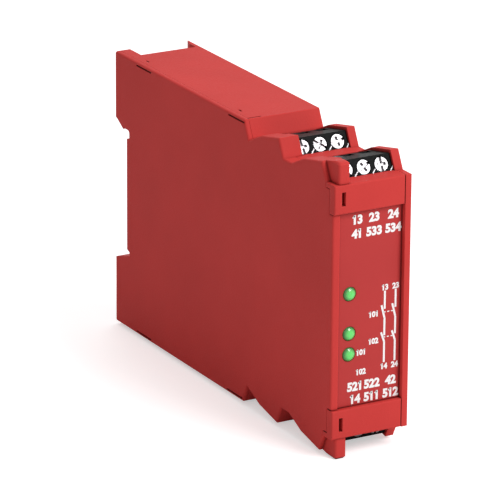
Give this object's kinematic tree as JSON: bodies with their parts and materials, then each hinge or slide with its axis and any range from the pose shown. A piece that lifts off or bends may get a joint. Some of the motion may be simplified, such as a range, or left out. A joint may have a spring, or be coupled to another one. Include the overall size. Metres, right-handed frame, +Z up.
{
  "type": "safety relay",
  "caption": "Slim red rail-mounted safety relay: stepped screw terminals above and below, recessed front plate with green lamps, sprung rail latch.",
  "frame": {"origin": "centre of the bounding box at its base, under the tips of the lower keying post", "axes": "+Y from the front face to the rail side, +Z up along the front face, +X across the module from the side cover to the far wall"},
  "size_m": [0.0226, 0.118, 0.0798],
  "materials": {
    "housing_red": "fine matt moulded texture",
    "plate_red": "smooth printed plastic film",
    "latch_black": "moulded, semi-matt",
    "spring_steel": "folded strip, rolled edges",
    "block_black": "moulded, semi-matt",
    "contact_brass": "stamped strip, tinned tails",
    "screw_steel": "bright nickel-plated heads",
    "cage_steel": "zinc-plated, rolled",
    "board_laminate": "solder mask over glass-epoxy laminate",
    "lamp_green": "clear tinted lens",
    "relay_case": "moulded case",
    "chip_black": "moulded package",
    "capacitor_case": "potted case"
  },
  "bodies": {
    "module": {"capacitor_1": "capacitor_case", "capacitor_2": "capacitor_case", "contact_bars_lower_front": "contact_brass", "contact_bars_lower_rear": "contact_brass", "contact_bars_upper_front": "contact_brass", "contact_bars_upper_rear": "contact_brass", "front_plate": "plate_red", "housing": "housing_red", "lamp_board": "board_laminate", "lamp_channel_one": "lamp_green", "lamp_channel_two": "lamp_green", "lamp_power": "lamp_green", "logic_chip_lower": "chip_black", "logic_chip_upper": "chip_black", "lower_front_cap": "housing_red", "main_board": "board_laminate", "side_cover": "housing_red", "switching_relay_lower": "relay_case", "switching_relay_upper": "relay_case", "terminal_block_lower_front": "block_black", "terminal_block_lower_rear": "block_black", "terminal_block_upper_front": "block_black", "terminal_block_upper_rear": "block_black", "upper_front_cap": "housing_red"},
    "latch": {"rail_latch": "latch_black", "latch_spring": "spring_steel"},
    "screw_body_upper_front_1": {"screw_upper_front_1": "screw_steel"},
    "cage_body_upper_front_1": {"cage_upper_front_1": "cage_steel"},
    "screw_body_upper_front_2": {"screw_upper_front_2": "screw_steel"},
    "cage_body_upper_front_2": {"cage_upper_front_2": "cage_steel"},
    "screw_body_upper_front_3": {"screw_upper_front_3": "screw_steel"},
    "cage_body_upper_front_3": {"cage_upper_front_3": "cage_steel"},
    "screw_body_upper_rear_1": {"screw_upper_rear_1": "screw_steel"},
    "cage_body_upper_rear_1": {"cage_upper_rear_1": "cage_steel"},
    "screw_body_upper_rear_2": {"screw_upper_rear_2": "screw_steel"},
    "cage_body_upper_rear_2": {"cage_upper_rear_2": "cage_steel"},
    "screw_body_upper_rear_3": {"screw_upper_rear_3": "screw_steel"},
    "cage_body_upper_rear_3": {"cage_upper_rear_3": "cage_steel"},
    "screw_body_lower_front_1": {"screw_lower_front_1": "screw_steel"},
    "cage_body_lower_front_1": {"cage_lower_front_1": "cage_steel"},
    "screw_body_lower_front_2": {"screw_lower_front_2": "screw_steel"},
    "cage_body_lower_front_2": {"cage_lower_front_2": "cage_steel"},
    "screw_body_lower_front_3": {"screw_lower_front_3": "screw_steel"},
    "cage_body_lower_front_3": {"cage_lower_front_3": "cage_steel"},
    "screw_body_lower_rear_1": {"screw_lower_rear_1": "screw_steel"},
    "cage_body_lower_rear_1": {"cage_lower_rear_1": "cage_steel"},
    "screw_body_lower_rear_2": {"screw_lower_rear_2": "screw_steel"},
    "cage_body_lower_rear_2": {"cage_lower_rear_2": "cage_steel"},
    "screw_body_lower_rear_3": {"screw_lower_rear_3": "screw_steel"},
    "cage_body_lower_rear_3": {"cage_lower_rear_3": "cage_steel"}
  },
  "joints": [
    {"name": "rail_latch_slide", "type": "slide", "parent": "module", "child": "latch", "axis": [0, 0, -1], "range_m": [0, 0.003], "stiffness_N_per_m": 2400, "springref_m": -0.0012, "deforming": ["latch_spring"]},
    {"name": "screw_turn_upper_front_1", "type": "hinge", "parent": "module", "child": "screw_body_upper_front_1", "pos_m": [-0.00455, -0.05296, 0.0757], "axis": [0, 0.8944, -0.4472], "range_deg": [0, 1440]},
    {"name": "cage_slide_upper_front_1", "type": "slide", "parent": "module", "child": "cage_body_upper_front_1", "axis": [0, -0.8944, 0.4472], "range_m": [0, 0.002]},
    {"name": "screw_turn_upper_front_2", "type": "hinge", "parent": "module", "child": "screw_body_upper_front_2", "pos_m": [0.00065, -0.05296, 0.0757], "axis": [0, 0.8944, -0.4472], "range_deg": [0, 1440]},
    {"name": "cage_slide_upper_front_2", "type": "slide", "parent": "module", "child": "cage_body_upper_front_2", "axis": [0, -0.8944, 0.4472], "range_m": [0, 0.002]},
    {"name": "screw_turn_upper_front_3", "type": "hinge", "parent": "module", "child": "screw_body_upper_front_3", "pos_m": [0.00585, -0.05296, 0.0757], "axis": [0, 0.8944, -0.4472], "range_deg": [0, 1440]},
    {"name": "cage_slide_upper_front_3", "type": "slide", "parent": "module", "child": "cage_body_upper_front_3", "axis": [0, -0.8944, 0.4472], "range_m": [0, 0.002]},
    {"name": "screw_turn_upper_rear_1", "type": "hinge", "parent": "module", "child": "screw_body_upper_rear_1", "pos_m": [-0.00455, -0.03116, 0.0757], "axis": [0, 0.8944, -0.4472], "range_deg": [0, 1440]},
    {"name": "cage_slide_upper_rear_1", "type": "slide", "parent": "module", "child": "cage_body_upper_rear_1", "axis": [0, -0.8944, 0.4472], "range_m": [0, 0.002]},
    {"name": "screw_turn_upper_rear_2", "type": "hinge", "parent": "module", "child": "screw_body_upper_rear_2", "pos_m": [0.00065, -0.03116, 0.0757], "axis": [0, 0.8944, -0.4472], "range_deg": [0, 1440]},
    {"name": "cage_slide_upper_rear_2", "type": "slide", "parent": "module", "child": "cage_body_upper_rear_2", "axis": [0, -0.8944, 0.4472], "range_m": [0, 0.002]},
    {"name": "screw_turn_upper_rear_3", "type": "hinge", "parent": "module", "child": "screw_body_upper_rear_3", "pos_m": [0.00585, -0.03116, 0.0757], "axis": [0, 0.8944, -0.4472], "range_deg": [0, 1440]},
    {"name": "cage_slide_upper_rear_3", "type": "slide", "parent": "module", "child": "cage_body_upper_rear_3", "axis": [0, -0.8944, 0.4472], "range_m": [0, 0.002]},
    {"name": "screw_turn_lower_front_1", "type": "hinge", "parent": "module", "child": "screw_body_lower_front_1", "pos_m": [-0.00455, -0.05296, 0.0041], "axis": [0, 0.8944, 0.4472], "range_deg": [0, 1440]},
    {"name": "cage_slide_lower_front_1", "type": "slide", "parent": "module", "child": "cage_body_lower_front_1", "axis": [0, -0.8944, -0.4472], "range_m": [0, 0.002]},
    {"name": "screw_turn_lower_front_2", "type": "hinge", "parent": "module", "child": "screw_body_lower_front_2", "pos_m": [0.00065, -0.05296, 0.0041], "axis": [0, 0.8944, 0.4472], "range_deg": [0, 1440]},
    {"name": "cage_slide_lower_front_2", "type": "slide", "parent": "module", "child": "cage_body_lower_front_2", "axis": [0, -0.8944, -0.4472], "range_m": [0, 0.002]},
    {"name": "screw_turn_lower_front_3", "type": "hinge", "parent": "module", "child": "screw_body_lower_front_3", "pos_m": [0.00585, -0.05296, 0.0041], "axis": [0, 0.8944, 0.4472], "range_deg": [0, 1440]},
    {"name": "cage_slide_lower_front_3", "type": "slide", "parent": "module", "child": "cage_body_lower_front_3", "axis": [0, -0.8944, -0.4472], "range_m": [0, 0.002]},
    {"name": "screw_turn_lower_rear_1", "type": "hinge", "parent": "module", "child": "screw_body_lower_rear_1", "pos_m": [-0.00455, -0.03116, 0.0041], "axis": [0, 0.8944, 0.4472], "range_deg": [0, 1440]},
    {"name": "cage_slide_lower_rear_1", "type": "slide", "parent": "module", "child": "cage_body_lower_rear_1", "axis": [0, -0.8944, -0.4472], "range_m": [0, 0.002]},
    {"name": "screw_turn_lower_rear_2", "type": "hinge", "parent": "module", "child": "screw_body_lower_rear_2", "pos_m": [0.00065, -0.03116, 0.0041], "axis": [0, 0.8944, 0.4472], "range_deg": [0, 1440]},
    {"name": "cage_slide_lower_rear_2", "type": "slide", "parent": "module", "child": "cage_body_lower_rear_2", "axis": [0, -0.8944, -0.4472], "range_m": [0, 0.002]},
    {"name": "screw_turn_lower_rear_3", "type": "hinge", "parent": "module", "child": "screw_body_lower_rear_3", "pos_m": [0.00585, -0.03116, 0.0041], "axis": [0, 0.8944, 0.4472], "range_deg": [0, 1440]},
    {"name": "cage_slide_lower_rear_3", "type": "slide", "parent": "module", "child": "cage_body_lower_rear_3", "axis": [0, -0.8944, -0.4472], "range_m": [0, 0.002]}
  ],
  "couplings": [
    {"joint": "screw_turn_upper_front_1", "follows": "cage_slide_upper_front_1", "rad_per_m": 12566},
    {"joint": "screw_turn_upper_front_2", "follows": "cage_slide_upper_front_2", "rad_per_m": 12566},
    {"joint": "screw_turn_upper_front_3", "follows": "cage_slide_upper_front_3", "rad_per_m": 12566},
    {"joint": "screw_turn_upper_rear_1", "follows": "cage_slide_upper_rear_1", "rad_per_m": 12566},
    {"joint": "screw_turn_upper_rear_2", "follows": "cage_slide_upper_rear_2", "rad_per_m": 12566},
    {"joint": "screw_turn_upper_rear_3", "follows": "cage_slide_upper_rear_3", "rad_per_m": 12566},
    {"joint": "screw_turn_lower_front_1", "follows": "cage_slide_lower_front_1", "rad_per_m": 12566},
    {"joint": "screw_turn_lower_front_2", "follows": "cage_slide_lower_front_2", "rad_per_m": 12566},
    {"joint": "screw_turn_lower_front_3", "follows": "cage_slide_lower_front_3", "rad_per_m": 12566},
    {"joint": "screw_turn_lower_rear_1", "follows": "cage_slide_lower_rear_1", "rad_per_m": 12566},
    {"joint": "screw_turn_lower_rear_2", "follows": "cage_slide_lower_rear_2", "rad_per_m": 12566},
    {"joint": "screw_turn_lower_rear_3", "follows": "cage_slide_lower_rear_3", "rad_per_m": 12566}
  ]
}
